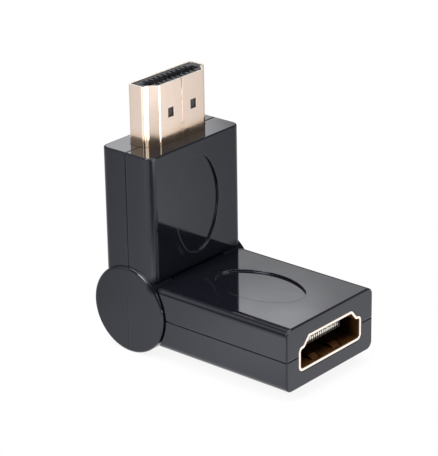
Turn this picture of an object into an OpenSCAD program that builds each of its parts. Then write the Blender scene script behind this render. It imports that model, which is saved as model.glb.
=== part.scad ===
// Swivel adapter: an arm with a multi-pin plug and an arm with the matching socket, joined by a hinge.
// Each arm is drawn in its own frame: z runs from the hinge axis to the arm's outer end, y runs along the
// hinge axis, and +x is the inner face, the one that looks at the other arm when the two are folded square.

/* [Arms] */
// Width of both arms, along the hinge axis
arm_w = 20.4; // [20:0.1:24]
// Thickness of both arms
arm_t = 10; // [9.8:0.1:12]
// Hinge axis to the plug arm's outer end
plug_arm_reach = 25.1; // [25:0.1:40]
// Hinge axis to the socket arm's outer end
socket_arm_reach = 30.3; // [29:0.1:45]
// Gap between the plug arm's inner end and the barrel
plug_arm_gap = 0.3; // [0.2:0.05:1]
// Gap between the socket arm's inner end and the plug arm's inner face, folded square
socket_arm_gap = 0.3; // [0.2:0.05:1]
// Radius of the plug arm's long edges
plug_edge_r = 1.3; // [0.5:0.05:2]
// Radius of the socket arm's long edges
socket_edge_r = 1.2; // [0.5:0.05:2]
// Radius of the edges round the arms' ends
end_edge_r = 0.25; // [0.1:0.05:0.45]
// Wall of the moulded covers
cover_wall = 1.2; // [0.9:0.05:1.3]
// Wall at the outer ends, round the plug and the socket
front_wall = 1.4; // [1:0.1:2]
// Width of the seam where two covers meet
seam_w = 0.2; // [0.1:0.02:0.4]
// Depth of the seam
seam_depth = 0.16; // [0.05:0.01:0.3]

/* [Finger pads] */
// Length of the oval pads
pad_l = 15.4; // [14:0.1:17]
// Width of the oval pads
pad_w = 9.8; // [8:0.1:12]
// Radius of the ovals' narrow ends
pad_end_r = 3.5; // [3:0.1:3.9]
// Depth of the pads
pad_depth = 0.3; // [0.2:0.05:0.6]
// Hinge axis to the middle of the plug arm's pads
plug_pad_at = 15.1; // [14.5:0.1:16]
// Hinge axis to the middle of the socket arm's pads
socket_pad_at = 17.1; // [15:0.1:20]

/* [Hinge] */
// Radius of the hinge discs
disc_r = 6.95; // [6.8:0.05:7.4]
// How far the discs stand out from the arms' sides
disc_proud = 0.5; // [0.4:0.05:1.5]
// Radius of the discs' outer edge
disc_edge_r = 0.45; // [0.2:0.05:0.8]
// Wall of the hollow discs, at the rim
disc_wall = 1.2; // [0.8:0.05:1.6]
// Wall of the hollow discs, at the face
disc_skin = 0.8; // [0.6:0.05:1]
// Wall that each trunnion turns in
ear_wall = 0.8; // [0.6:0.05:1]
// Seam across the discs, its width
disc_seam_w = 0.1; // [0.05:0.01:0.2]
// Seam across the discs, its depth
disc_seam_depth = 0.08; // [0.03:0.01:0.2]
// Width of the barrel between the discs
barrel_w = 11.6; // [10.8:0.1:12]
// Wall at the barrel's ends
barrel_end_wall = 0.8; // [0.6:0.05:1]
// Radius of the hollow trunnions
trunnion_r = 2.5; // [2.3:0.05:3]
// Radius of the wire way through the trunnions
wire_way_r = 1.6; // [1.5:0.05:1.7]
// Running clearance round the trunnions
bearing_gap = 0.05; // [0.02:0.01:0.09]
// Gap between each disc and the barrel, and between each disc and the socket arm
swing_gap = 0.25; // [0.15:0.05:0.4]

/* [Connectors] */
// Width of the plug
plug_w = 13.9; // [13.5:0.05:14]
// Thickness of the plug
plug_t = 4.45; // [4.3:0.05:4.6]
// Width of the plug's narrow face
plug_narrow_w = 9.9; // [9.4:0.1:10.2]
// Width between the hollows of the two shoulders
shoulder_w = 12.2; // [11.7:0.1:12.3]
// Height of the plug's upright sides
plug_side_h = 3; // [2.8:0.05:3.1]
// Rise of each shoulder from the side to its hollow
shoulder_rise = 0.12; // [0.05:0.01:0.2]
// Radius of the corners of the wide face
wide_corner_r = 0.45; // [0.38:0.01:0.8]
// Radius of the corners between the sides and the shoulders
side_corner_r = 0.4; // [0.38:0.01:0.6]
// Radius of the hollows of the shoulders
shoulder_r = 0.7; // [0.6:0.05:0.9]
// Radius of the corners of the narrow face
narrow_corner_r = 0.4; // [0.38:0.01:0.8]
// How far the plug stands out of its arm
plug_out = 9.4; // [8.5:0.1:11]
// Metal of the plug's shell
plug_metal = 0.3; // [0.2:0.02:0.35]
// Metal of the socket's shell
socket_metal = 0.4; // [0.3:0.02:0.48]
// Play of a plug in the socket, all round
mating_gap = 0.05; // [0.03:0.01:0.1]
// Offset of both connectors from the middle of the arms, towards the inner faces
connector_shift = 0.15; // [0:0.05:0.2]
// How far the plug's shell reaches into its arm
plug_depth = 4.3; // [4:0.1:4.5]
// How far the socket's shell reaches into its arm
socket_depth = 12.5; // [12:0.1:13]
// Play between a connector or board and the cover round it
seat_gap = 0.04; // [0.02:0.01:0.06]
// Gap round the socket's rim at the arm's end
rim_gap = 0.12; // [0.06:0.01:0.2]

/* [Plug details] */
// Distance of the plug insulator's front below the shell's rim
insulator_set_back = 0.1; // [0.05:0.05:0.5]
// Width of the slot for the tongue
slot_w = 11.4; // [11.2:0.1:11.8]
// Height of the slot for the tongue
slot_t = 1.5; // [1.4:0.05:1.6]
// Depth of the slot for the tongue
slot_depth = 8.6; // [7:0.1:9]
// Distance of the contacts' tips below the shell's rim
contact_set_back = 0.6; // [0.4:0.05:1]
// Distance from the contacts' tips to the bends that touch the tongue
contact_bend_at = 1.6; // [1:0.1:3]
// Width of the windows in the shell
window_w = 1.25; // [1:0.05:1.8]
// Height of the windows in the shell
window_h = 1.45; // [1:0.05:1.8]
// Distance between the windows' middles
window_pitch = 5; // [4:0.1:6]
// Middle of the windows above the arm's end
window_at = 4.75; // [4:0.05:6]
// Width of the butt seam
fold_seam_w = 0.06; // [0.04:0.01:0.12]
// Depth of the butt seam
fold_seam_depth = 0.1; // [0.06:0.01:0.18]
// Length of the open slit at the tip's end of the butt seam
tip_slit_l = 1.5; // [1:0.1:2.5]
// Width of the open slit
tip_slit_w = 0.14; // [0.1:0.01:0.2]
// Radius of the dimple on the butt seam
dimple_r = 0.22; // [0.15:0.01:0.3]
// Middle of the dimple above the arm's end
dimple_at = 6; // [5.8:0.1:7]
// Width of the dovetail that locks the butt seam
dovetail_w = 1.2; // [0.8:0.1:1.6]
// Middle of the dovetail above the arm's end
dovetail_at = 1.9; // [1.5:0.05:2.5]

/* [Socket details] */
// Width of the tongue
tongue_w = 10.8; // [10.6:0.1:11]
// Thickness of the tongue
tongue_t = 1.2; // [1.1:0.05:1.3]
// Distance of the tongue's tip behind the socket's rim
tongue_set_back = 2.2; // [1.2:0.1:2.5]
// Chamfer of the contacts' bends at the tongue's tip
tongue_chamfer = 0.12; // [0.05:0.01:0.14]
// Length of the block that carries the tongue
tongue_block_l = 3.2; // [2:0.1:4]
// Width of the spring fingers
finger_w = 1.5; // [1:0.1:2]
// Length of the spring fingers
finger_l = 5.6; // [5:0.1:7]
// How far the fingers bend into the socket
finger_bend = 0.4; // [0.2:0.05:0.6]
// Distance between the fingers' middles
finger_pitch = 5; // [4.4:0.1:5.4]
// Gap cut round each finger
finger_gap = 0.3; // [0.2:0.05:0.4]
// Distance of the fingers' tips behind the socket's rim
finger_set_back = 0.8; // [0.6:0.1:2]
// Length of the fingers' lead-in, from the bend to the tip
finger_nose = 0.9; // [0.6:0.1:1.5]

/* [Contacts, boards and wires] */
// Distance between the contacts of a row
contact_pitch = 1; // [0.95:0.01:1.05]
// Contacts in the row on the wide side
wide_row = 10; // [8:1:10]
// Contacts in the row on the narrow side
narrow_row = 9; // [7:1:9]
// Width of the plug's contacts
contact_w = 0.45; // [0.3:0.01:0.5]
// Width of the socket's contacts
socket_contact_w = 0.3; // [0.2:0.01:0.34]
// Thickness of the contacts
contact_t = 0.2; // [0.15:0.01:0.22]
// Length of the contacts' tails on the boards
tail_l = 2.2; // [1.5:0.1:3]
// Thickness of the boards
board_t = 0.8; // [0.6:0.05:0.9]
// Width of the boards
board_w = 13; // [12:0.1:13.2]
// Gap between a board and the moulding in front of it
board_gap = 0.2; // [0.1:0.05:0.4]
// Diameter of the insulated wires
wire_d = 0.36; // [0.3:0.01:0.38]
// Distance between neighbouring wires in the hinge
wire_pitch = 0.42; // [0.4:0.01:0.44]
// Radius of the wires' bends, at their middle
wire_bend_r = 0.7; // [0.5:0.05:0.75]
// Distance between neighbouring wires on the boards
solder_pitch = 0.9; // [0.7:0.05:1]
// Middle of the plug's board to the nearest wires
solder_from = 2; // [1:0.1:2.4]
// Length of wire that lies on a board
solder_l = 1.2; // [0.8:0.1:1.5]
// Metal of the screens
screen_metal = 0.25; // [0.15:0.01:0.28]
// Length of the screens
screen_l = 3.6; // [3:0.1:4]
// How far the screens slide over the shells
screen_lap = 0.8; // [0.5:0.1:1]

/* [Inside the covers] */
// Thickness of the ribs that hold the connectors and boards
rib_t = 0.9; // [0.6:0.1:1.2]
// Radius of the bosses for the locating pins
boss_r = 0.75; // [0.7:0.05:0.85]
// Radius of the locating pins
pin_r = 0.38; // [0.3:0.02:0.45]
// Length of the locating pins
pin_l = 0.8; // [0.5:0.1:1]
// Clearance round the locating pins
pin_gap = 0.04; // [0.02:0.01:0.08]
// Socket arm's outer end to the nearest pair of pins
end_pin_at = 5.2; // [4:0.1:7]

/* [Hidden] */
$fn = 64;

plastic = [0.12, 0.12, 0.13];
gold = [0.87, 0.72, 0.55];
inner_plastic = [0.2, 0.2, 0.21];
tin = [0.72, 0.72, 0.7];
board_green = [0.1, 0.35, 0.2];
wire_red = [0.6, 0.15, 0.12];
wire_blue = [0.15, 0.25, 0.55];

over = 1; // extra length of a cut that runs out through a surface
inner = 1;
outer = -1;

// Hinge
barrel_r = arm_t / 2;
plug_arm_start = barrel_r + plug_arm_gap;
socket_arm_start = barrel_r + socket_arm_gap;
disc_face_y = arm_w / 2 + disc_proud;
ear_y = barrel_w / 2 + swing_gap;
ear_hollow_y = ear_y + ear_wall;
relief_r = disc_r + swing_gap;
cavity_w = arm_w - 2 * cover_wall;
cavity_t = arm_t - 2 * cover_wall;
plug_cavity_start = plug_arm_start + cover_wall;
socket_cavity_start = relief_r + cover_wall;

// Connectors: the corners of the outline and their radii, in order round it
outline_side = [
    [plug_w / 2, -plug_t / 2], [plug_w / 2, plug_side_h - plug_t / 2],
    [shoulder_w / 2, plug_side_h + shoulder_rise - plug_t / 2], [plug_narrow_w / 2, plug_t / 2]
];
side_radii = [wide_corner_r, side_corner_r, shoulder_r, narrow_corner_r];
corners_a_side = len(outline_side);
outline_corners = [
    each outline_side, for (i = [corners_a_side - 1:-1:0]) [-outline_side[i][0], outline_side[i][1]]
];
outline_radii = [each side_radii, for (i = [corners_a_side - 1:-1:0]) side_radii[i]];
corner_steps = 6; // flats that make up each round corner
least_corner_r = 0.05; // what is left of a hollow's radius where the outline has grown past it
socket_outer = mating_gap + socket_metal;
plug_tip = plug_arm_reach + plug_out;
plug_back = plug_arm_reach - plug_depth;
socket_back = socket_arm_reach - socket_depth;
plug_board_end = plug_back - board_gap;
socket_board_end = socket_back - board_gap;

// Wires: how they are stacked in the hinge, and where they turn
wire_r = wire_d / 2;
wires_deep = 5;
wire_layer = board_t / 2 + wire_r;
middle_wire = (wires_deep - 1) / 2;
ear_wire_y = (ear_hollow_y + cavity_w / 2) / 2;
meeting_y = ear_y;
lowest_run = plug_cavity_start + 2 * wire_r;
plug_board_start = lowest_run + (wires_deep - 1) * wire_pitch + wire_bend_r + board_gap;
socket_board_start = socket_cavity_start + wire_bend_r + board_gap;
wire_slot_t = 2 * (wire_layer + wire_r + connector_shift) + board_gap;

// Ribs, and the bosses between the connectors and the arms' sides
boss_y = (plug_w / 2 + socket_outer + seat_gap + arm_w / 2) / 2;
plug_rib_at = plug_back + screen_lap + rib_t;
plug_board_rib_at = (plug_board_start + plug_board_end) / 2;
plug_bosses = [plug_board_start + 2 * boss_r, plug_board_end - 2 * boss_r];
socket_rib_at = socket_back + screen_lap + rib_t;
socket_board_rib_at = (socket_board_start + socket_board_end) / 2;
socket_bosses = [socket_board_start + 2 * boss_r, socket_arm_reach - end_pin_at];

// Contacts: how deep the grooves of the plug's contacts are, and where plug and socket touch
groove_top = slot_t / 2 + 3 * contact_t;
touch_at = tongue_t / 2;

// Spring fingers: half the thickness of the socket's metal, in the middle of it
finger_metal = socket_metal / 2;
finger_inset = (socket_metal - finger_metal) / 2;
finger_root = socket_arm_reach - finger_set_back - finger_l;

function unit(v) = v / norm(v);
function outward(from, to) = let (d = unit(to - from)) [d[1], -d[0]];
function turns_left(before, at, after) = cross(at - before, after - at) > 0;
function grown_corner(before, at, after, grow) =
    let (n_in = outward(before, at), n_out = outward(at, after))
    at + (n_in + n_out) * grow / (1 + n_in * n_out);
function short_way(turn) = turn > 180 ? turn - 360 : turn < -180 ? turn + 360 : turn;
function corner_arc(before, at, after, r) =
    let (
        back = unit(before - at), ahead = unit(after - at), half = acos(back * ahead) / 2,
        centre = at + unit(back + ahead) * r / sin(half),
        first = at + back * r / tan(half) - centre, last = at + ahead * r / tan(half) - centre,
        start = atan2(first[1], first[0]), turn = short_way(atan2(last[1], last[0]) - start)
    )
    [for (k = [0:corner_steps]) centre + r * [
        cos(start + turn * k / corner_steps), sin(start + turn * k / corner_steps)
    ]];

// Outline with rounded corners and hollows, grown by an even amount all round
function rounded_outline(corners, radii, grow) =
    let (
        n = len(corners),
        moved = [for (i = [0:n - 1])
            grown_corner(corners[(i + n - 1) % n], corners[i], corners[(i + 1) % n], grow)]
    )
    [for (i = [0:n - 1])
        let (before = moved[(i + n - 1) % n], at = moved[i], after = moved[(i + 1) % n])
        let (r = radii[i] + (turns_left(before, at, after) ? grow : -grow))
        each corner_arc(before, at, after, max(r, least_corner_r))];

function row_y(count, i) = (i - (count - 1) / 2) * contact_pitch;

// Bar with the connectors' outline: width along y, narrow face towards +x
module connector_bar(from, to, grow = 0) {
    translate([connector_shift, 0, from])
        mirror([1, -1, 0])
            linear_extrude(to - from)
                polygon(rounded_outline(outline_corners, outline_radii, grow));
}

module rounded_square(size, r) {
    square([size[0] - 2 * r, size[1]], center = true);
    square([size[0], size[1] - 2 * r], center = true);
    for (x = [-1, 1], y = [-1, 1])
        translate([x * (size[0] / 2 - r), y * (size[1] / 2 - r)]) circle(r);
}

// Block of an arm: large radius on the four long edges, small radius round both ends
module arm_block(start, reach, edge_r) {
    length = reach - start;
    translate([0, 0, start + length / 2]) {
        rotate([90, 0, 0])
            linear_extrude(arm_w - 2 * edge_r, center = true)
                rounded_square([arm_t, length], end_edge_r);
        rotate([90, 0, 90])
            linear_extrude(arm_t - 2 * edge_r, center = true)
                rounded_square([arm_w, length], end_edge_r);
        for (x = [-1, 1], y = [-1, 1])
            translate([x * (arm_t / 2 - edge_r), y * (arm_w / 2 - edge_r), 0])
                edge_post(edge_r, length);
    }
}

// Round post of an arm's long edge, with the small radius at its ends
module edge_post(r, length) {
    rotate_extrude()
        intersection() {
            rounded_square([2 * r, length], end_edge_r);
            translate([0, -length / 2]) square([r, length]);
        }
}

// Seam groove along an arm's sides and across its outer end
module seam_cut(start, reach) {
    difference() {
        translate([-seam_w / 2, -arm_w / 2 - over, start - over])
            cube([seam_w, arm_w + 2 * over, reach - start + 2 * over]);
        translate([-seam_w, seam_depth - arm_w / 2, start - 2 * over])
            cube([2 * seam_w, arm_w - 2 * seam_depth, reach - start + 2 * over - seam_depth]);
    }
}

// Oval of four arcs: two wide ones along the sides and two narrow ones round the ends
module pad_outline() {
    end_at = pad_l / 2 - pad_end_r;
    rise = pad_w / 2 - pad_end_r;
    side_at = (end_at * end_at - rise * rise) / (2 * rise);
    side_r = pad_w / 2 + side_at;
    join_at = end_at * side_r / (side_r - pad_end_r);
    for (s = [-1, 1]) translate([0, s * end_at]) circle(pad_end_r);
    intersection() {
        translate([-side_at, 0]) circle(side_r);
        translate([side_at, 0]) circle(side_r);
        square([pad_w, 2 * join_at], center = true);
    }
}

module pad_cuts(at) {
    for (side = [inner, outer])
        translate([side * (arm_t / 2 - pad_depth + over / 2), 0, at])
            rotate([90, 0, 90])
                linear_extrude(over, center = true) pad_outline();
}

// Keeps one half of an arm: the inner or the outer one
module half_of(side) {
    big = 2 * (plug_tip + socket_arm_reach);
    difference() {
        children();
        translate([-side * big / 2, 0, 0]) cube(big, center = true);
    }
}

module bosses(places) {
    for (z = places, y = [-1, 1])
        translate([0, y * boss_y, z])
            rotate([0, 90, 0])
                cylinder(r = boss_r, h = arm_t - cover_wall, center = true);
}

module pins(places, r, l) {
    for (z = places, y = [-1, 1])
        translate([0, y * boss_y, z])
            rotate([0, 90, 0])
                cylinder(r = r, h = 2 * l, center = true);
}

// Cross wall inside an arm
module rib(at) {
    translate([0, 0, at]) cube([arm_t - cover_wall, arm_w - cover_wall, rib_t], center = true);
}

// Opening in a cross wall for a board, with room for what is soldered to it
module board_way(start, end) {
    translate([connector_shift, 0, (start + end) / 2]) {
        cube([board_t + 2 * seat_gap, board_w + 2 * seat_gap, end - start], center = true);
        cube([cavity_t - 2 * rib_t, board_w - 2 * rib_t, end - start], center = true);
    }
}

// Half disc and hollow ear of the hinge, on the +y side
module ear() {
    rotate([-90, 0, 0])
        difference() {
            rotate_extrude()
                intersection() {
                    translate([0, disc_face_y - disc_r])
                        rounded_square([2 * disc_r, 2 * disc_r], disc_edge_r);
                    translate([0, ear_y]) square([disc_r, disc_face_y - ear_y]);
                }
            ear_seam();
        }
}

module ear_seam() {
    translate([0, 0, disc_face_y - disc_seam_depth + over / 2])
        cube([disc_seam_w, 2 * disc_r + over, over], center = true);
    difference() {
        translate([0, 0, disc_face_y])
            cube([disc_seam_w, 2 * disc_r + over, 2 * disc_proud], center = true);
        cylinder(r = disc_r - disc_seam_depth, h = disc_face_y + over);
    }
}

module ear_hollow() {
    rotate([-90, 0, 0]) {
        translate([0, 0, ear_hollow_y])
            cylinder(r = disc_r - disc_wall, h = disc_face_y - disc_skin - ear_hollow_y);
        cylinder(r = trunnion_r + bearing_gap, h = ear_hollow_y + over / 2);
    }
    translate([-wire_slot_t / 2, ear_hollow_y, trunnion_r])
        cube([wire_slot_t, cavity_w / 2 - ear_hollow_y, plug_cavity_start]);
}

module plug_cover_body() {
    difference() {
        union() {
            difference() {
                arm_block(plug_arm_start, plug_arm_reach, plug_edge_r);
                seam_cut(plug_arm_start, plug_arm_reach);
                pad_cuts(plug_pad_at);
            }
            for (side = [0, 1]) mirror([0, side, 0]) ear();
        }
        difference() {
            translate([-cavity_t / 2, -cavity_w / 2, plug_cavity_start])
                cube([cavity_t, cavity_w, plug_arm_reach - front_wall - plug_cavity_start]);
            rib(plug_rib_at);
            rib(plug_board_rib_at);
            bosses(plug_bosses);
        }
        for (side = [0, 1]) mirror([0, side, 0]) ear_hollow();
        connector_bar(plug_rib_at - rib_t, plug_arm_reach + over, seat_gap);
        board_way(plug_board_start, plug_board_end);
    }
}

module plug_front_cover() {
    color(plastic) plug_place() {
        half_of(inner) plug_cover_body();
        half_of(outer) pins(plug_bosses, pin_r, pin_l);
    }
}

module plug_rear_cover() {
    color(plastic) plug_place()
        difference() {
            half_of(outer) plug_cover_body();
            pins(plug_bosses, pin_r + pin_gap, pin_l + pin_gap);
        }
}

module window_cuts() {
    for (side = [-1, 1])
        translate([connector_shift, side * window_pitch / 2, plug_arm_reach + window_at])
            cube([plug_t + over, window_w, window_h], center = true);
}

// Butt seam along the narrow face, with the dovetail that locks it, a dimple and an open slit at the tip
module fold_seam() {
    depth_at = connector_shift + plug_t / 2 - fold_seam_depth;
    translate([connector_shift + plug_t / 2 - plug_metal - over / 2, -tip_slit_w / 2, plug_tip - tip_slit_l])
        cube([plug_metal + over, tip_slit_w, tip_slit_l + over]);
    translate([depth_at, 0, plug_arm_reach + dimple_at])
        rotate([0, 90, 0])
            cylinder(r = dimple_r, h = over);
    translate([depth_at, -fold_seam_w / 2, plug_back - over])
        cube([over, fold_seam_w, plug_arm_reach + dovetail_at - dovetail_w / 2 - plug_back + over]);
    translate([depth_at, -fold_seam_w / 2, plug_arm_reach + dovetail_at + dovetail_w / 2])
        cube([over, fold_seam_w, plug_tip]);
    translate([depth_at, 0, plug_arm_reach + dovetail_at])
        rotate([90, 0, 90])
            linear_extrude(over)
                difference() {
                    dovetail(dovetail_w);
                    dovetail(dovetail_w - 2 * fold_seam_w);
                }
}

module dovetail(size) {
    wide = size / 2;
    narrow = wide * 2 / 3;
    polygon([[-wide, -narrow], [wide, -wide], [wide, wide], [-wide, narrow]]);
}

module plug_shell() {
    color(gold) plug_place()
        difference() {
            connector_bar(plug_back, plug_tip);
            connector_bar(plug_back - over, plug_tip + over, -plug_metal);
            window_cuts();
            fold_seam();
        }
}

module plug_insulator() {
    front = plug_tip - insulator_set_back;
    color(inner_plastic) plug_place()
        difference() {
            connector_bar(plug_back, front, -plug_metal - seat_gap / 2);
            translate([connector_shift, 0, front - slot_depth / 2 + over / 2])
                cube([slot_t, slot_w, slot_depth + over], center = true);
            contact_ways(inner, narrow_row, front);
            contact_ways(outer, wide_row, front);
        }
}

// Grooves that the contacts lie in, open to the slot and to the front
module contact_ways(side, count, front) {
    low = board_t / 2 - seat_gap;
    high = groove_top + seat_gap;
    for (i = [0:count - 1])
        translate([
            connector_shift + side * (low + high) / 2, row_y(count, i), (plug_back + front) / 2
        ])
            cube([high - low, contact_w + 2 * seat_gap, front - plug_back + 2 * over], center = true);
}

// Flat spring contacts: a tail on the board, a step up, a long blade, the bend that touches the tongue, and
// a lead-in at the tip
module plug_contacts(side, count) {
    base = board_t / 2;
    high = groove_top - contact_t;
    step = plug_back + board_gap;
    rise = high - base;
    tip = plug_tip - contact_set_back;
    bend = tip - contact_bend_at;
    profile = [
        [base, plug_board_end - tail_l], [base + contact_t, plug_board_end - tail_l],
        [base + contact_t, step], [high + contact_t, step + rise],
        [touch_at + contact_t, bend], [high + contact_t, tip], [high, tip],
        [touch_at, bend], [high, step + rise + contact_t / 2], [base, step + contact_t / 2]
    ];
    for (i = [0:count - 1])
        translate([connector_shift, row_y(count, i), 0])
            mirror([side == outer ? 1 : 0, 0, 0])
                rotate([90, 0, 0])
                    linear_extrude(contact_w, center = true) polygon(profile);
}

module plug_contacts_front() {
    color(gold) plug_place() plug_contacts(inner, narrow_row);
}

module plug_contacts_rear() {
    color(gold) plug_place() plug_contacts(outer, wide_row);
}

module board(start, end) {
    translate([connector_shift - board_t / 2, -board_w / 2, start]) cube([board_t, board_w, end - start]);
}

module plug_board() {
    color(board_green) plug_place() board(plug_board_start, plug_board_end);
}

// Sleeve that laps over the back of a shell
module screen(lap_end, grow) {
    difference() {
        connector_bar(lap_end - screen_l, lap_end, grow + seat_gap / 2 + screen_metal);
        connector_bar(lap_end - screen_l - over, lap_end + over, grow + seat_gap / 2);
    }
}

module plug_screen() {
    color(tin) plug_place() screen(plug_back + screen_lap, 0);
}

// Wire along right-angled turns in the y-z plane, with round bends
module wire(points) {
    last = len(points) - 1;
    for (k = [0:last - 1]) {
        d = unit(points[k + 1] - points[k]);
        from = points[k] + (k > 0 ? wire_bend_r : 0) * d;
        to = points[k + 1] - (k < last - 1 ? wire_bend_r : 0) * d;
        translate([0, from[0], from[1]])
            rotate([-atan2(d[0], d[1]), 0, 0])
                cylinder(r = wire_r, h = norm(to - from));
    }
    for (k = [1:last - 1]) {
        d_in = unit(points[k] - points[k - 1]);
        d_out = unit(points[k + 1] - points[k]);
        centre = points[k] + wire_bend_r * (d_out - d_in);
        from_angle = atan2(-d_out[1], -d_out[0]);
        to_angle = atan2(d_in[1], d_in[0]);
        turn = sin(to_angle - from_angle) > 0 ? from_angle : to_angle;
        translate([0, centre[0], centre[1]])
            rotate([90, 0, 90])
                rotate([0, 0, turn])
                    rotate_extrude(angle = 90) translate([wire_bend_r, 0]) circle(wire_r);
    }
}

// Depth i counts from the wire nearest the middle of the board, layer from the outer face to the inner one
module wire_stack(count) {
    for (n = [0:count - 1]) {
        layer = 2 * (n % 2) - 1;
        translate([connector_shift + layer * wire_layer, 0, 0]) {
            $depth = floor(n / 2);
            children();
        }
    }
}

module plug_wires(count) {
    wire_stack(count) {
        solder_y = solder_from + $depth * solder_pitch;
        run_z = lowest_run + $depth * wire_pitch;
        down_y = ear_wire_y + ($depth - middle_wire) * wire_pitch;
        axis_z = (middle_wire - $depth) * wire_pitch;
        wire([
            [solder_y, plug_board_start + solder_l], [solder_y, run_z], [down_y, run_z],
            [down_y, axis_z], [meeting_y, axis_z]
        ]);
    }
}

module plug_wires_left() {
    color(wire_red) plug_place() mirror([0, 1, 0]) plug_wires(wide_row);
}

module plug_wires_right() {
    color(wire_blue) plug_place() plug_wires(narrow_row);
}

// Barrel between the discs and the neck that joins it to the socket arm
module barrel() {
    rotate([90, 0, 0])
        linear_extrude(barrel_w, center = true) neck_outline(barrel_r, socket_arm_start + cover_wall);
    rotate([90, 0, 0])
        cylinder(r = trunnion_r, h = 2 * ear_hollow_y, center = true);
}

module neck_outline(r, reach) {
    circle(r);
    translate([-r, 0]) square([2 * r, reach]);
}

module barrel_hollow() {
    rotate([90, 0, 0]) {
        linear_extrude(barrel_w - 2 * barrel_end_wall, center = true)
            neck_outline(barrel_r - cover_wall, socket_cavity_start + over);
        cylinder(r = wire_way_r, h = 2 * (ear_hollow_y + over), center = true);
    }
}

// Round relief in the socket arm that the discs turn in
module disc_relief() {
    for (side = [-1, 1])
        translate([0, side * (barrel_w / 2 + arm_w / 2), 0])
            rotate([90, 0, 0]) cylinder(r = relief_r, h = arm_w, center = true);
}

module socket_cover_body() {
    difference() {
        union() {
            difference() {
                arm_block(socket_arm_start, socket_arm_reach, socket_edge_r);
                seam_cut(socket_arm_start, socket_arm_reach);
                pad_cuts(socket_pad_at);
                disc_relief();
            }
            barrel();
        }
        barrel_hollow();
        difference() {
            translate([-cavity_t / 2, -cavity_w / 2, socket_cavity_start])
                cube([cavity_t, cavity_w, socket_arm_reach - front_wall - socket_cavity_start]);
            rib(socket_rib_at);
            rib(socket_board_rib_at);
            bosses(socket_bosses);
        }
        connector_bar(socket_rib_at - rib_t, socket_arm_reach - front_wall - over, socket_outer + seat_gap);
        connector_bar(socket_arm_reach - front_wall - over, socket_arm_reach + over, socket_outer + rim_gap);
        board_way(socket_board_start, socket_board_end);
    }
}

module socket_top_cover() {
    color(plastic) socket_place() {
        half_of(inner) socket_cover_body();
        half_of(outer) pins(socket_bosses, pin_r, pin_l);
    }
}

module socket_bottom_cover() {
    color(plastic) socket_place()
        difference() {
            half_of(outer) socket_cover_body();
            pins(socket_bosses, pin_r + pin_gap, pin_l + pin_gap);
        }
}

// Room cut round a spring finger, and the finger itself, on one wall of the socket's shell
module finger_window(side, y) {
    at = connector_shift + side * plug_t / 2;
    translate([at - over, y - finger_w / 2 - finger_gap, finger_root])
        cube([2 * over, finger_w + 2 * finger_gap, finger_l + finger_gap]);
}

module finger(side, y) {
    low = plug_t / 2 + mating_gap + finger_inset;
    high = low + finger_metal;
    dip = finger_bend + finger_inset;
    bend_at = finger_root + finger_l - finger_nose;
    tip = finger_root + finger_l;
    translate([connector_shift, y, 0])
        mirror([side == outer ? 1 : 0, 0, 0])
            rotate([90, 0, 0])
                linear_extrude(finger_w, center = true)
                    polygon([
                        [low, finger_root - finger_gap], [high, finger_root - finger_gap],
                        [high, finger_root + finger_gap], [high - dip, bend_at], [high, tip],
                        [low, tip], [low - dip, bend_at], [low, finger_root + finger_gap]
                    ]);
}

module socket_shell() {
    color(gold) socket_place() {
        difference() {
            connector_bar(socket_back, socket_arm_reach, socket_outer);
            connector_bar(socket_back - over, socket_arm_reach + over, mating_gap);
            for (side = [inner, outer], y = [-1, 1]) finger_window(side, y * finger_pitch / 2);
        }
        for (side = [inner, outer], y = [-1, 1]) finger(side, y * finger_pitch / 2);
    }
}

module socket_tongue() {
    nose = socket_arm_reach - tongue_set_back - contact_t;
    color(inner_plastic) socket_place()
        difference() {
            union() {
                connector_bar(socket_back, socket_back + tongue_block_l, mating_gap - seat_gap / 2);
                translate([connector_shift - tongue_t / 2, -tongue_w / 2, socket_back])
                    cube([tongue_t, tongue_w, nose - socket_back]);
            }
            tongue_ways(inner, narrow_row, nose);
            tongue_ways(outer, wide_row, nose);
        }
}

// Grooves along the tongue that the contacts lie in, open to its tip
module tongue_ways(side, count, nose) {
    low = board_t / 2;
    for (i = [0:count - 1])
        translate([connector_shift + side * (low + over / 2), row_y(count, i), (socket_back + nose) / 2])
            cube([over, socket_contact_w + seat_gap, nose - socket_back + 2 * over], center = true);
}

// Flat contacts: a tail on the board, a blade along the tongue, and a lip bent over the tongue's tip
module socket_contacts(side, count) {
    low = board_t / 2;
    high = low + contact_t;
    tail = socket_board_end - tail_l;
    tip = socket_arm_reach - tongue_set_back;
    profile = [
        [low, tail], [high, tail], [high, tip - tongue_chamfer], [high - tongue_chamfer, tip],
        [-low, tip], [-low, tip - contact_t], [low, tip - contact_t]
    ];
    for (i = [0:count - 1])
        translate([connector_shift, row_y(count, i), 0])
            mirror([side == outer ? 1 : 0, 0, 0])
                rotate([90, 0, 0])
                    linear_extrude(socket_contact_w, center = true) polygon(profile);
}

module socket_contacts_top() {
    color(gold) socket_place() socket_contacts(inner, narrow_row);
}

module socket_contacts_bottom() {
    color(gold) socket_place() socket_contacts(outer, wide_row);
}

module socket_board() {
    color(board_green) socket_place() board(socket_board_start, socket_board_end);
}

module socket_screen() {
    color(tin) socket_place() screen(socket_back + screen_lap, socket_outer);
}

module socket_wires(count) {
    turn_y = barrel_w / 2 - barrel_end_wall - wire_bend_r;
    wire_stack(count) {
        run_y = turn_y - $depth * solder_pitch;
        axis_z = (middle_wire - $depth) * wire_pitch;
        wire([[meeting_y - seat_gap, axis_z], [run_y, axis_z], [run_y, socket_board_start + solder_l]]);
    }
}

module socket_wires_left() {
    color(wire_red) socket_place() mirror([0, 1, 0]) socket_wires(wide_row);
}

module socket_wires_right() {
    color(wire_blue) socket_place() socket_wires(narrow_row);
}

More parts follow.
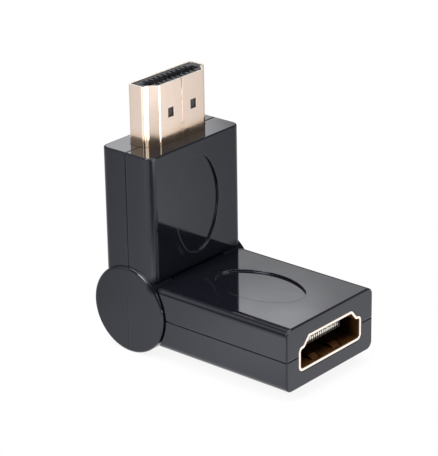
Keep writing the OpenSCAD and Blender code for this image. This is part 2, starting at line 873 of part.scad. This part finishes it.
// The origin is under the middle of the whole adapter, folded square, at the level of the discs' lowest line
module plug_place() {
    translate([(disc_r - socket_arm_reach) / 2, 0, disc_r]) children();
}

module socket_place() {
    translate([(disc_r - socket_arm_reach) / 2, 0, disc_r]) mirror([1, 0, -1]) children();
}

plug_front_cover();
plug_rear_cover();
plug_shell();
plug_insulator();
plug_contacts_front();
plug_contacts_rear();
plug_board();
plug_screen();
plug_wires_left();
plug_wires_right();
socket_top_cover();
socket_bottom_cover();
socket_shell();
socket_tongue();
socket_contacts_top();
socket_contacts_bottom();
socket_board();
socket_screen();
socket_wires_left();
socket_wires_right();
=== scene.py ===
import math

import bpy
from mathutils import Matrix, Vector

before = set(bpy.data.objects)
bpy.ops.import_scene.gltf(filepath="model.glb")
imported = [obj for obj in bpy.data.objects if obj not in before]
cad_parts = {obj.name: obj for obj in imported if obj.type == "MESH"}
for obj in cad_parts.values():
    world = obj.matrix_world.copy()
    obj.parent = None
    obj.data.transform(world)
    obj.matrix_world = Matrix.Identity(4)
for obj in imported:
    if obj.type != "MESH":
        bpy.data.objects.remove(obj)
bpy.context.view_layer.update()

mm = 0.001

# Small helpers for node trees


gridStep = (190, -220)  # spacing of the nodes on their canvas


def onGrid(place):
    return (place[0] * gridStep[0], place[1] * gridStep[1])


def addNode(tree, kind, place, options=None, sockets=None):
    made = tree.nodes.new(kind)
    made.location = onGrid(place)
    for key, value in (options or {}).items():
        setattr(made, key, value)
    for key, value in (sockets or {}).items():
        if isinstance(value, bpy.types.NodeSocket):
            tree.links.new(value, made.inputs[key])
        else:
            made.inputs[key].default_value = value
    return made


def addMath(tree, operation, place, *values, clamp=False):
    return addNode(
        tree, "ShaderNodeMath", place, {"operation": operation, "use_clamp": clamp},
        {i: value for i, value in enumerate(values)},
    ).outputs[0]


def addRange(tree, place, value, low, high, newLow=0.0, newHigh=1.0):
    return addNode(
        tree, "ShaderNodeMapRange", place, {"interpolation_type": "SMOOTHSTEP"},
        {"Value": value, "From Min": low, "From Max": high, "To Min": newLow, "To Max": newHigh},
    ).outputs["Result"]


def addMix(tree, place, factor, first, second, blend="MIX"):
    made = addNode(tree, "ShaderNodeMix", place, {"data_type": "RGBA", "blend_type": blend})
    for index, value in ((0, factor), (6, first), (7, second)):
        if isinstance(value, bpy.types.NodeSocket):
            tree.links.new(value, made.inputs[index])
        else:
            made.inputs[index].default_value = value
    return made.outputs[2]


def startGroup(name, inputs, outputs):
    tree = bpy.data.node_groups.new(name, "ShaderNodeTree")
    kinds = {float: "NodeSocketFloat", tuple: "NodeSocketColor"}
    for label, value in inputs.items():
        socket = tree.interface.new_socket(label, in_out="INPUT", socket_type=kinds[type(value)])
        socket.default_value = value
    for label, kind in outputs.items():
        tree.interface.new_socket(label, in_out="OUTPUT", socket_type=kind)
    into = tree.nodes.new("NodeGroupInput")
    into.location = (-200, 0)
    out = tree.nodes.new("NodeGroupOutput")
    out.location = (1600, 0)
    return tree, into, out


def useGroup(tree, group, place, **sockets):
    made = tree.nodes.new("ShaderNodeGroup")
    made.node_tree = group
    made.location = onGrid(place)
    for key, value in sockets.items():
        label = key.replace("_", " ")
        if isinstance(value, bpy.types.NodeSocket):
            tree.links.new(value, made.inputs[label])
        else:
            made.inputs[label].default_value = value
    return made


def startMaterial(name):
    material = bpy.data.materials.new(name)
    material.use_nodes = True
    material.node_tree.nodes.clear()
    return material, material.node_tree


def endMaterial(tree, place, sockets):
    shader = addNode(tree, "ShaderNodeBsdfPrincipled", place, None, sockets)
    addNode(tree, "ShaderNodeOutputMaterial", (place[0] + 2, place[1]), None, {"Surface": shader.outputs["BSDF"]})


def dress(names, material):
    for name in names:
        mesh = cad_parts[name].data
        mesh.materials.clear()
        mesh.materials.append(material)


# Shared surface effects


def makeSkinGroup():
    # slow and fine unevenness of a moulded or plated skin, with soft edges
    tree, into, out = startGroup(
        "surface skin",
        {"Wave Scale": 300.0, "Grain Scale": 4000.0, "Wave Depth": 0.02, "Grain Depth": 0.02,
         "Rough Low": 0.1, "Rough High": 0.2, "Edge Radius": 0.0001},
        {"Roughness": "NodeSocketFloat", "Normal": "NodeSocketVector", "Mottle": "NodeSocketFloat",
         "Edge": "NodeSocketFloat"},
    )
    place = addNode(tree, "ShaderNodeTexCoord", (0, 0)).outputs["Object"]
    wave = addNode(tree, "ShaderNodeTexNoise", (1, 0), None,
                   {"Vector": place, "Scale": into.outputs["Wave Scale"], "Detail": 2.0})
    grain = addNode(tree, "ShaderNodeTexNoise", (1, 1), None,
                    {"Vector": place, "Scale": into.outputs["Grain Scale"], "Detail": 3.0})
    rounded = addNode(tree, "ShaderNodeBevel", (1, 2), {"samples": 6}, {"Radius": into.outputs["Edge Radius"]})
    low = addNode(tree, "ShaderNodeBump", (3, 0), None,
                  {"Strength": into.outputs["Wave Depth"], "Distance": 0.0004, "Height": wave.outputs[0],
                   "Normal": rounded.outputs[0]})
    high = addNode(tree, "ShaderNodeBump", (4, 0), None,
                   {"Strength": into.outputs["Grain Depth"], "Distance": 0.00005, "Height": grain.outputs[0],
                    "Normal": low.outputs[0]})
    mottle = addRange(tree, (3, 2), wave.outputs[0], 0.35, 0.65)
    spread = addMath(tree, "SUBTRACT", (3, 3), into.outputs["Rough High"], into.outputs["Rough Low"])
    rough = addMath(tree, "MULTIPLY_ADD", (4, 3), mottle, spread, into.outputs["Rough Low"])
    face = addNode(tree, "ShaderNodeNewGeometry", (1, 4)).outputs["Normal"]
    turn = addNode(tree, "ShaderNodeVectorMath", (3, 4), {"operation": "DOT_PRODUCT"},
                   {0: rounded.outputs[0], 1: face}).outputs["Value"]
    edge = addRange(tree, (4, 4), turn, 0.999, 0.93)
    for label, value in (("Roughness", rough), ("Normal", high.outputs[0]), ("Mottle", mottle), ("Edge", edge)):
        tree.links.new(value, out.inputs[label])
    return tree


def makeStreakGroup():
    # fine lines of a drawn or rolled sheet, running along z or along x
    tree, into, out = startGroup(
        "drawn streaks",
        {"Along X": 0.0, "Scale": 2500.0, "Stretch": 0.03, "Depth": 0.05},
        {"Streaks": "NodeSocketFloat", "Height": "NodeSocketFloat"},
    )
    place = addNode(tree, "ShaderNodeTexCoord", (0, 0)).outputs["Object"]
    parts = addNode(tree, "ShaderNodeSeparateXYZ", (1, 0), None, {0: place}).outputs
    shortZ = addMath(tree, "MULTIPLY", (2, 0), parts[2], into.outputs["Stretch"])
    shortX = addMath(tree, "MULTIPLY", (2, 1), parts[0], into.outputs["Stretch"])
    upright = addNode(tree, "ShaderNodeCombineXYZ", (3, 0), None, {0: parts[0], 1: parts[1], 2: shortZ})
    level = addNode(tree, "ShaderNodeCombineXYZ", (3, 1), None, {0: shortX, 1: parts[1], 2: parts[2]})
    chosen = addNode(tree, "ShaderNodeMix", (4, 0), {"data_type": "VECTOR"})
    for index, value in ((0, into.outputs["Along X"]), (4, upright.outputs[0]), (5, level.outputs[0])):
        tree.links.new(value, chosen.inputs[index])
    noise = addNode(tree, "ShaderNodeTexNoise", (5, 0), None,
                    {"Vector": chosen.outputs[1], "Scale": into.outputs["Scale"], "Detail": 3.0})
    streaks = addRange(tree, (6, 0), noise.outputs[0], 0.35, 0.65)
    height = addMath(tree, "MULTIPLY", (7, 0), streaks, into.outputs["Depth"])
    tree.links.new(streaks, out.inputs["Streaks"])
    tree.links.new(height, out.inputs["Height"])
    return tree


skinGroup = makeSkinGroup()
streakGroup = makeStreakGroup()
print("shared node groups made")


# Covers: glossy black moulding

coverLook = {
    "nodes": ["plug_front_cover", "plug_rear_cover", "socket_top_cover", "socket_bottom_cover"],
    "black": (0.0044, 0.0049, 0.0078, 1),
    # lighter colour on the rounded edges: a painted highlight
    "edgeHighlight": (0.008, 0.0085, 0.0115, 1),
    "sheen": (0.87, 0.895, 1.0, 1),
    "crease": (-6.6 * mm, 0, 12.1 * mm),  # line where the two arms meet, its reflection turned down as painted shade
    "creaseReach": (0.6 * mm, 1.6 * mm),
    "creaseShadeSpecular": (0.12, 0.5),  # in that line and away from it
    "skin": {
        "Wave_Scale": 160.0, "Grain_Scale": 3500.0, "Wave_Depth": 0.012, "Grain_Depth": 0.012,
        "Rough_Low": 0.055, "Rough_High": 0.085, "Edge_Radius": 0.16 * mm,
    },
}


def makeCoverMaterial(look):
    material, tree = startMaterial("glossy black moulding")
    skin = useGroup(tree, skinGroup, (0, 0), **look["skin"])
    # the rounded edges take the painted highlight colour
    colour = addMix(tree, (2, 0), skin.outputs["Edge"], look["black"], look["edgeHighlight"])
    place = addNode(tree, "ShaderNodeTexCoord", (0, 3)).outputs["Object"]
    flat = addNode(tree, "ShaderNodeVectorMath", (1, 3), {"operation": "MULTIPLY"}, {0: place, 1: (1, 0, 1)})
    # painted shade: less reflection close to the crease where the arms meet
    away = addNode(tree, "ShaderNodeVectorMath", (2, 3), {"operation": "DISTANCE"},
                   {0: flat.outputs[0], 1: look["crease"]}).outputs["Value"]
    creaseShadeLevel = addRange(tree, (3, 3), away, *look["creaseReach"], *look["creaseShadeSpecular"])
    endMaterial(tree, (4, 0), {
        "Base Color": colour, "Roughness": skin.outputs["Roughness"], "Normal": skin.outputs["Normal"],
        "IOR": 1.5, "Specular IOR Level": creaseShadeLevel, "Specular Tint": look["sheen"],
    })
    return material


dress(coverLook["nodes"], makeCoverMaterial(coverLook))
print("covers dressed")


# Plug and socket shells: thin pale gold plate on folded sheet, with painted shade: browner at the plug's root
# where it mirrors the black arm, and browner to near black deeper inside the socket

platingLook = {
    "gold": (0.97, 0.8, 0.69, 1),
    "rose": (0.95, 0.76, 0.63, 1),
    # pale colour painted on the shells' rims as a highlight
    "bright": (0.88, 0.78, 0.69, 1),
    "roseShare": 0.5,
    "streakBump": 0.05,
    "skin": {
        "Wave_Scale": 350.0, "Grain_Scale": 9000.0, "Wave_Depth": 0.01, "Grain_Depth": 0.02,
        "Rough_Low": 0.15, "Rough_High": 0.2, "Edge_Radius": 0.06 * mm,
    },
}
plugShellLook = {
    "node": "plug_shell",
    "alongX": 0.0,
    "axis": 2,
    "shade": (0.86, 0.63, 0.44, 1),
    "shadeFrom": (35.2 * mm, 32.3 * mm),
    "deep": (0.86, 0.63, 0.44, 1),
    "deepFrom": (32.3 * mm, 32.2 * mm),
    "rimHighlightFrom": (41.3 * mm, 41.42 * mm),
    "shadeMetallic": 1.0,
}
socketShellLook = {
    "node": "socket_shell",
    "alongX": 1.0,
    "axis": 0,
    "shade": (0.15, 0.058, 0.016, 1),
    "shadeFrom": (18.6 * mm, 18.4 * mm),
    "deep": (0.022, 0.01, 0.005, 1),
    "deepFrom": (18.3 * mm, 16.2 * mm),
    "rimHighlightFrom": (18.5 * mm, 18.6 * mm),
    "shadeMetallic": 0.45,
}


def makePlatingMaterial(name, look, part):
    material, tree = startMaterial(name)
    skin = useGroup(tree, skinGroup, (0, 0), **look["skin"])
    streaks = useGroup(tree, streakGroup, (0, 2), Along_X=part["alongX"], Depth=1.0)
    place = addNode(tree, "ShaderNodeTexCoord", (0, 4)).outputs["Object"]
    along = addNode(tree, "ShaderNodeSeparateXYZ", (1, 4), None, {0: place}).outputs[part["axis"]]
    # painted shade: browner towards the plug's root and inside the socket
    shade = addRange(tree, (2, 4), along, *part["shadeFrom"])
    # the rim is painted paler as a highlight
    rimHighlight = addRange(tree, (2, 5), along, *part["rimHighlightFrom"])
    tint = addMath(tree, "MULTIPLY", (2, 1), skin.outputs["Mottle"], look["roseShare"])
    plain = addMix(tree, (3, 1), tint, look["gold"], look["rose"])
    # painted shade growing darker with depth inside the socket
    deep = addRange(tree, (2, 6), along, *part["deepFrom"])
    brown = addMix(tree, (3, 6), deep, part["shade"], part["deep"])
    shaded = addMix(tree, (4, 1), shade, plain, brown)
    colour = addMix(tree, (5, 1), rimHighlight, shaded, look["bright"])
    metallic = addRange(tree, (5, 2), shade, 0.0, 1.0, 1.0, part["shadeMetallic"])
    bump = addNode(tree, "ShaderNodeBump", (3, 2), None,
                   {"Strength": look["streakBump"], "Distance": 0.01 * mm, "Height": streaks.outputs["Height"],
                    "Normal": skin.outputs["Normal"]})
    endMaterial(tree, (7, 0), {
        "Base Color": colour, "Metallic": metallic, "Roughness": skin.outputs["Roughness"],
        "Normal": bump.outputs[0],
    })
    return material


for part in (plugShellLook, socketShellLook):
    dress([part["node"]], makePlatingMaterial(part["node"].replace("_", " ") + " plate", platingLook, part))
print("shells dressed")


# Insulator of the plug and tongue of the socket: black moulding with a fine grain

insulatorLook = {
    "nodes": ["plug_insulator", "socket_tongue"],
    "black": (0.019, 0.02, 0.024, 1),
    "dusty": (0.033, 0.034, 0.038, 1),
    "skin": {
        "Wave_Scale": 700.0, "Grain_Scale": 12000.0, "Wave_Depth": 0.03, "Grain_Depth": 0.15,
        "Rough_Low": 0.32, "Rough_High": 0.42, "Edge_Radius": 0.05 * mm,
    },
}


def makeInsulatorMaterial(look):
    material, tree = startMaterial("inner black moulding")
    skin = useGroup(tree, skinGroup, (0, 0), **look["skin"])
    colour = addMix(tree, (2, 0), skin.outputs["Mottle"], look["black"], look["dusty"])
    endMaterial(tree, (4, 0), {
        "Base Color": colour, "Roughness": skin.outputs["Roughness"], "Normal": skin.outputs["Normal"],
        "IOR": 1.5,
    })
    return material


dress(insulatorLook["nodes"], makeInsulatorMaterial(insulatorLook))
print("insulators dressed")


# Contacts: plated strips, duller where the socket's lower row and the depth keep the light away

contactLook = {
    "nodes": ["plug_contacts_front", "plug_contacts_rear", "socket_contacts_top", "socket_contacts_bottom"],
    "pale": (0.85, 0.85, 0.85, 1),
    "warm": (0.8, 0.76, 0.68, 1),
    # dark colour painted on the lower contacts as shade
    "dull": (0.07, 0.055, 0.045, 1),
    "shadeBelow": (7.2 * mm, 6.95 * mm),
    "skin": {
        "Wave_Scale": 900.0, "Grain_Scale": 15000.0, "Wave_Depth": 0.02, "Grain_Depth": 0.03,
        "Rough_Low": 0.2, "Rough_High": 0.3, "Edge_Radius": 0.04 * mm,
    },
}


def makeContactMaterial(look):
    material, tree = startMaterial("contact plating")
    skin = useGroup(tree, skinGroup, (0, 0), **look["skin"])
    place = addNode(tree, "ShaderNodeTexCoord", (0, 3)).outputs["Object"]
    height = addNode(tree, "ShaderNodeSeparateXYZ", (1, 3), None, {0: place}).outputs[2]
    # below that height the contacts take the painted shade colour
    below = addRange(tree, (2, 3), height, *look["shadeBelow"])
    plain = addMix(tree, (2, 0), skin.outputs["Mottle"], look["pale"], look["warm"])
    colour = addMix(tree, (3, 0), below, plain, look["dull"])
    endMaterial(tree, (5, 0), {
        "Base Color": colour, "Metallic": 1.0, "Roughness": skin.outputs["Roughness"],
        "Normal": skin.outputs["Normal"],
    })
    return material


dress(contactLook["nodes"], makeContactMaterial(contactLook))
print("contacts dressed")


# Circuit boards: green lacquer over copper tracks and glass cloth

boardLook = {
    "nodes": ["plug_board", "socket_board"],
    "lacquer": (0.012, 0.11, 0.045, 1),
    "overCopper": (0.03, 0.2, 0.075, 1),
    "trackPitch": 1.0 * mm,
    "trackEdge": (0.2, 0.24),  # shares of the pitch
    "trackBump": 0.4,
    "skin": {
        "Wave_Scale": 1800.0, "Grain_Scale": 9000.0, "Wave_Depth": 0.04, "Grain_Depth": 0.05,
        "Rough_Low": 0.25, "Rough_High": 0.35, "Edge_Radius": 0.04 * mm,
    },
}


def makeBoardMaterial(look):
    material, tree = startMaterial("lacquered board")
    skin = useGroup(tree, skinGroup, (0, 0), **look["skin"])
    place = addNode(tree, "ShaderNodeTexCoord", (0, 2)).outputs["Object"]
    across = addNode(tree, "ShaderNodeSeparateXYZ", (1, 2), None, {0: place}).outputs[1]
    turns = addMath(tree, "DIVIDE", (2, 2), across, look["trackPitch"])
    saw = addMath(tree, "PINGPONG", (3, 2), turns, 0.5)
    track = addRange(tree, (4, 2), saw, *look["trackEdge"])
    colour = addMix(tree, (5, 1), track, look["lacquer"], look["overCopper"])
    bump = addNode(tree, "ShaderNodeBump", (5, 2), None,
                   {"Strength": look["trackBump"], "Distance": 0.03 * mm, "Height": track,
                    "Normal": skin.outputs["Normal"]})
    endMaterial(tree, (7, 0), {
        "Base Color": colour, "Roughness": skin.outputs["Roughness"], "Normal": bump.outputs[0],
    })
    return material


dress(boardLook["nodes"], makeBoardMaterial(boardLook))
print("boards dressed")


# Screens: tin plated sheet behind the connectors

screenLook = {
    "nodes": ["plug_screen", "socket_screen"],
    "tin": (0.62, 0.61, 0.58, 1),
    "dull": (0.5, 0.49, 0.46, 1),
    "skin": {
        "Wave_Scale": 400.0, "Grain_Scale": 8000.0, "Wave_Depth": 0.02, "Grain_Depth": 0.06,
        "Rough_Low": 0.3, "Rough_High": 0.45, "Edge_Radius": 0.05 * mm,
    },
}


def makeScreenMaterial(look):
    material, tree = startMaterial("tin plate")
    skin = useGroup(tree, skinGroup, (0, 0), **look["skin"])
    streaks = useGroup(tree, streakGroup, (0, 2), Along_X=0.0, Depth=1.0)
    colour = addMix(tree, (3, 0), streaks.outputs["Streaks"], look["tin"], look["dull"])
    endMaterial(tree, (5, 0), {
        "Base Color": colour, "Metallic": 1.0, "Roughness": skin.outputs["Roughness"],
        "Normal": skin.outputs["Normal"],
    })
    return material


dress(screenLook["nodes"], makeScreenMaterial(screenLook))
print("screens dressed")


# Wires: soft insulation, a little uneven

wireSkin = {
    "Wave_Scale": 1200.0, "Grain_Scale": 9000.0, "Wave_Depth": 0.06, "Grain_Depth": 0.1,
    "Rough_Low": 0.35, "Rough_High": 0.5, "Edge_Radius": 0.03 * mm,
}
wireLooks = {
    "red": {
        "nodes": ["plug_wires_left", "socket_wires_left"],
        "colour": (0.42, 0.035, 0.025, 1),
        "shade": (0.3, 0.02, 0.018, 1),
    },
    "blue": {
        "nodes": ["plug_wires_right", "socket_wires_right"],
        "colour": (0.03, 0.07, 0.36, 1),
        "shade": (0.02, 0.045, 0.25, 1),
    },
}


def makeWireMaterial(name, look):
    material, tree = startMaterial(name)
    skin = useGroup(tree, skinGroup, (0, 0), **wireSkin)
    colour = addMix(tree, (2, 0), skin.outputs["Mottle"], look["colour"], look["shade"])
    endMaterial(tree, (4, 0), {
        "Base Color": colour, "Roughness": skin.outputs["Roughness"], "Normal": skin.outputs["Normal"],
    })
    return material


for name, look in wireLooks.items():
    dress(look["nodes"], makeWireMaterial(name + " wire insulation", look))
print("wires dressed")


# Studio: a floor that keeps the object's soft shadow, a dim surround, and soft panels round the object.
# The camera looks through the floor to the white behind it, so an arm turned below it still shows.

studioLook = {
    "floorHalf": 3.0,
    "floorColour": (0.9, 0.9, 0.9, 1),
    "shadowShare": 0.11,
    "footprint": (0.0186, 0.0107, 0),
    "shadowReach": (0.004, 0.017),  # how far from the footprint the shadow fades out
    "floorShine": (0.67, 1.27),  # how bright mirrors see the floor, from one side to the other
    "shineAcross": (0.766, -0.643, 0),
    "shineFrom": (-0.016, 0.012),
    "farShine": 0.88,  # and how much of that is left further out along x
    "farFrom": (0.028, 0.052),
    "spots": {  # what mirrors see on the floor besides: the camera's shade and soft pools of light
        "under the camera": {"at": (0.054, -0.052, 0), "radius": (0.018, 0.044), "light": -0.75},
        "beside the socket": {"at": (0.007, -0.031, 0), "radius": (0.005, 0.024), "light": 0.55},
        "far right": {"at": (0.18, 0, 0), "radius": (0.07, 0.12), "light": 5.0},
    },
    "surround": 0.26,
    "panels": {
        "below": {"azimuth": 0, "elevation": -90, "half": (180, 84), "soft": 4, "light": 0.75},
        "overhead": {"azimuth": 0, "elevation": 90, "half": (180, 30), "soft": 8, "light": 2.9},
        "behind": {"azimuth": 128, "elevation": 24.2, "half": (7, 2.2), "soft": 1.5, "light": 0.85},
        "behind bright": {"azimuth": 129.2, "elevation": 25.7, "half": (0.6, 0.6), "soft": 1.8, "light": 1.5},
        "behind low": {"azimuth": 133.0, "elevation": 19.8, "half": (1.1, 0.8), "soft": 2.6, "light": 1.95},
        "right": {"azimuth": 17, "elevation": 23, "half": (17, 12), "soft": 4, "light": 4.2},
        "left": {"azimuth": -98, "elevation": 27, "half": (6, 16), "soft": 3, "light": 4.2},
        "left high": {"azimuth": -98, "elevation": 45, "half": (10, 12), "soft": 5, "light": 11.0},
        "left behind": {"azimuth": -146, "elevation": 32, "half": (12, 9), "soft": 9, "light": 0.9},
    },
}


def seenDirectly(tree, place):
    # 1 for the camera, mirrors and clear materials, 0 for soft light
    column, row = place
    rays = addNode(tree, "ShaderNodeLightPath", place).outputs
    either = addMath(tree, "ADD", (column + 1, row), rays["Is Camera Ray"], rays["Is Glossy Ray"])
    return addMath(tree, "ADD", (column + 2, row), either, rays["Is Transmission Ray"], clamp=True)


def distanceOnFloor(tree, place, spot, centre):
    away = addNode(tree, "ShaderNodeVectorMath", place, {"operation": "DISTANCE"}, {0: spot, 1: centre})
    return away.outputs["Value"]


def makeFloor(look):
    half = look["floorHalf"]
    mesh = bpy.data.meshes.new("floor")
    corners = [(-half, -half, 0), (half, -half, 0), (half, half, 0), (-half, half, 0)]
    mesh.from_pydata(corners, [], [(0, 1, 2, 3)])
    floor = bpy.data.objects.new("floor", mesh)
    bpy.context.scene.collection.objects.link(floor)
    material, tree = startMaterial("white floor")
    spot = addNode(tree, "ShaderNodeTexCoord", (0, 3)).outputs["Object"]
    outside = spot
    for column, (operation, other) in enumerate(
        (("ABSOLUTE", (0, 0, 0)), ("SUBTRACT", look["footprint"]), ("MAXIMUM", (0, 0, 0))), 1
    ):
        outside = addNode(tree, "ShaderNodeVectorMath", (column, 1), {"operation": operation},
                          {0: outside, 1: other}).outputs[0]
    gap = addNode(tree, "ShaderNodeVectorMath", (4, 1), {"operation": "LENGTH"}, {0: outside}).outputs["Value"]
    white = addRange(tree, (5, 1), gap, *look["shadowReach"], 1 - look["shadowShare"], 1.0)
    share = addMath(tree, "MULTIPLY", (5, 0), seenDirectly(tree, (0, 0)), white)
    paint = addNode(tree, "ShaderNodeBsdfDiffuse", (5, 2), None, {"Color": look["floorColour"]})
    across = addNode(tree, "ShaderNodeVectorMath", (1, 3), {"operation": "DOT_PRODUCT"},
                     {0: spot, 1: look["shineAcross"]}).outputs["Value"]
    fade = addRange(tree, (2, 3), across, *look["shineFrom"], *look["floorShine"])
    outward = addNode(tree, "ShaderNodeSeparateXYZ", (1, 2), None, {0: spot}).outputs[0]
    far = addRange(tree, (2, 2), outward, *look["farFrom"], 1.0, look["farShine"])
    shine = addMath(tree, "MULTIPLY", (3, 3), fade, far)
    for row, pool in enumerate(look["spots"].values(), 4):
        away = distanceOnFloor(tree, (1, row), spot, pool["at"])
        mask = addRange(tree, (2, row), away, *pool["radius"], 1.0, 0.0)
        shine = addMath(tree, "MULTIPLY_ADD", (3, row), mask, pool["light"], shine)
    glow = addNode(tree, "ShaderNodeEmission", (4, 2), None, {"Color": shine, "Strength": 1.0})
    clear = addNode(tree, "ShaderNodeBsdfTransparent", (4, 1))
    straight = addNode(tree, "ShaderNodeLightPath", (4, 3)).outputs["Is Camera Ray"]
    behind = addNode(tree, "ShaderNodeMixShader", (5, 1), None,
                     {0: straight, 1: glow.outputs[0], 2: clear.outputs[0]})
    both = addNode(tree, "ShaderNodeMixShader", (7, 0), None,
                   {0: share, 1: paint.outputs[0], 2: behind.outputs[0]})
    addNode(tree, "ShaderNodeOutputMaterial", (8, 0), None, {"Surface": both.outputs[0]})
    mesh.materials.append(material)
    return floor


def makePanelGroup():
    # mask of a soft-edged panel, from the azimuth and elevation of a direction, in degrees
    tree, into, out = startGroup(
        "soft panel",
        {"Azimuth": 0.0, "Elevation": 0.0, "Panel Azimuth": 0.0, "Panel Elevation": 0.0,
         "Half Width": 10.0, "Half Height": 10.0, "Soft": 5.0},
        {"Mask": "NodeSocketFloat"},
    )
    turn = addMath(tree, "SUBTRACT", (0, 0), into.outputs["Azimuth"], into.outputs["Panel Azimuth"])
    wrapped = addMath(tree, "WRAP", (1, 0), turn, 180.0, -180.0)
    rise = addMath(tree, "SUBTRACT", (0, 1), into.outputs["Elevation"], into.outputs["Panel Elevation"])
    masks = []
    for row, (offset, half) in enumerate(((wrapped, "Half Width"), (rise, "Half Height"))):
        away = addMath(tree, "ABSOLUTE", (2, row), offset)
        end = addMath(tree, "ADD", (2, row + 2), into.outputs[half], into.outputs["Soft"])
        masks.append(addRange(tree, (3, row), away, into.outputs[half], end, 1.0, 0.0))
    mask = addMath(tree, "MULTIPLY", (4, 0), *masks)
    tree.links.new(mask, out.inputs["Mask"])
    return tree


def makeSurround(look):
    world = bpy.data.worlds.new("studio")
    bpy.context.scene.world = world
    world.use_nodes = True
    tree = world.node_tree
    tree.nodes.clear()
    group = makePanelGroup()
    way = addNode(tree, "ShaderNodeTexCoord", (0, 0)).outputs["Generated"]
    parts = addNode(tree, "ShaderNodeSeparateXYZ", (1, 0), None, {0: way}).outputs
    azimuth = addMath(tree, "DEGREES", (3, 0), addMath(tree, "ARCTAN2", (2, 0), parts[1], parts[0]))
    elevation = addMath(tree, "DEGREES", (3, 1), addMath(tree, "ARCSINE", (2, 1), parts[2]))
    level = look["surround"]
    for row, panel in enumerate(look["panels"].values()):
        mask = useGroup(tree, group, (4, row), Azimuth=azimuth, Elevation=elevation,
                        Panel_Azimuth=panel["azimuth"], Panel_Elevation=panel["elevation"],
                        Half_Width=panel["half"][0], Half_Height=panel["half"][1], Soft=panel["soft"])
        level = addMath(tree, "MULTIPLY_ADD", (5 + row, 0), mask.outputs["Mask"], panel["light"], level)
    straight = addNode(tree, "ShaderNodeLightPath", (8, 2)).outputs["Is Camera Ray"]
    seen = addMix(tree, (11, 0), straight, level, (1, 1, 1, 1))
    glow = addNode(tree, "ShaderNodeBackground", (12, 0), None, {"Color": seen, "Strength": 1.0})
    addNode(tree, "ShaderNodeOutputWorld", (13, 0), None, {"Surface": glow.outputs[0]})


makeFloor(studioLook)
makeSurround(studioLook)
print("studio lit")


# Camera: the photograph's own viewpoint

cameraLook = {
    "azimuth": 40.753,
    "elevation": 22.311,
    "roll": -0.947,
    "distance": 313.591 * mm,
    "target": (0.325 * mm, 0, 14.95 * mm),
    "slide": (-2.206 * mm, 4.604 * mm),
    "lens": 165.48,
    "sensor": 36,
    "clip": (0.01, 20),
}


def placeCamera(look):
    turn, rise, roll = (math.radians(look[key]) for key in ("azimuth", "elevation", "roll"))
    back = Vector((math.sin(turn) * math.cos(rise), -math.cos(turn) * math.cos(rise), math.sin(rise)))
    level = Vector((math.cos(turn), math.sin(turn), 0))
    upright = back.cross(level)
    right = math.cos(roll) * level + math.sin(roll) * upright
    up = math.cos(roll) * upright - math.sin(roll) * level
    data = bpy.data.cameras.new("camera")
    data.sensor_fit = "VERTICAL"
    data.sensor_height = look["sensor"]
    data.lens = look["lens"]
    data.clip_start, data.clip_end = look["clip"]
    camera = bpy.data.objects.new("camera", data)
    bpy.context.scene.collection.objects.link(camera)
    place = Vector(look["target"]) + right * look["slide"][0] + up * look["slide"][1] + back * look["distance"]
    camera.matrix_world = Matrix.Translation(place) @ Matrix((right, up, back)).transposed().to_4x4()
    bpy.context.scene.camera = camera


placeCamera(cameraLook)
bpy.context.scene.view_settings.view_transform = "Standard"
print("camera placed")
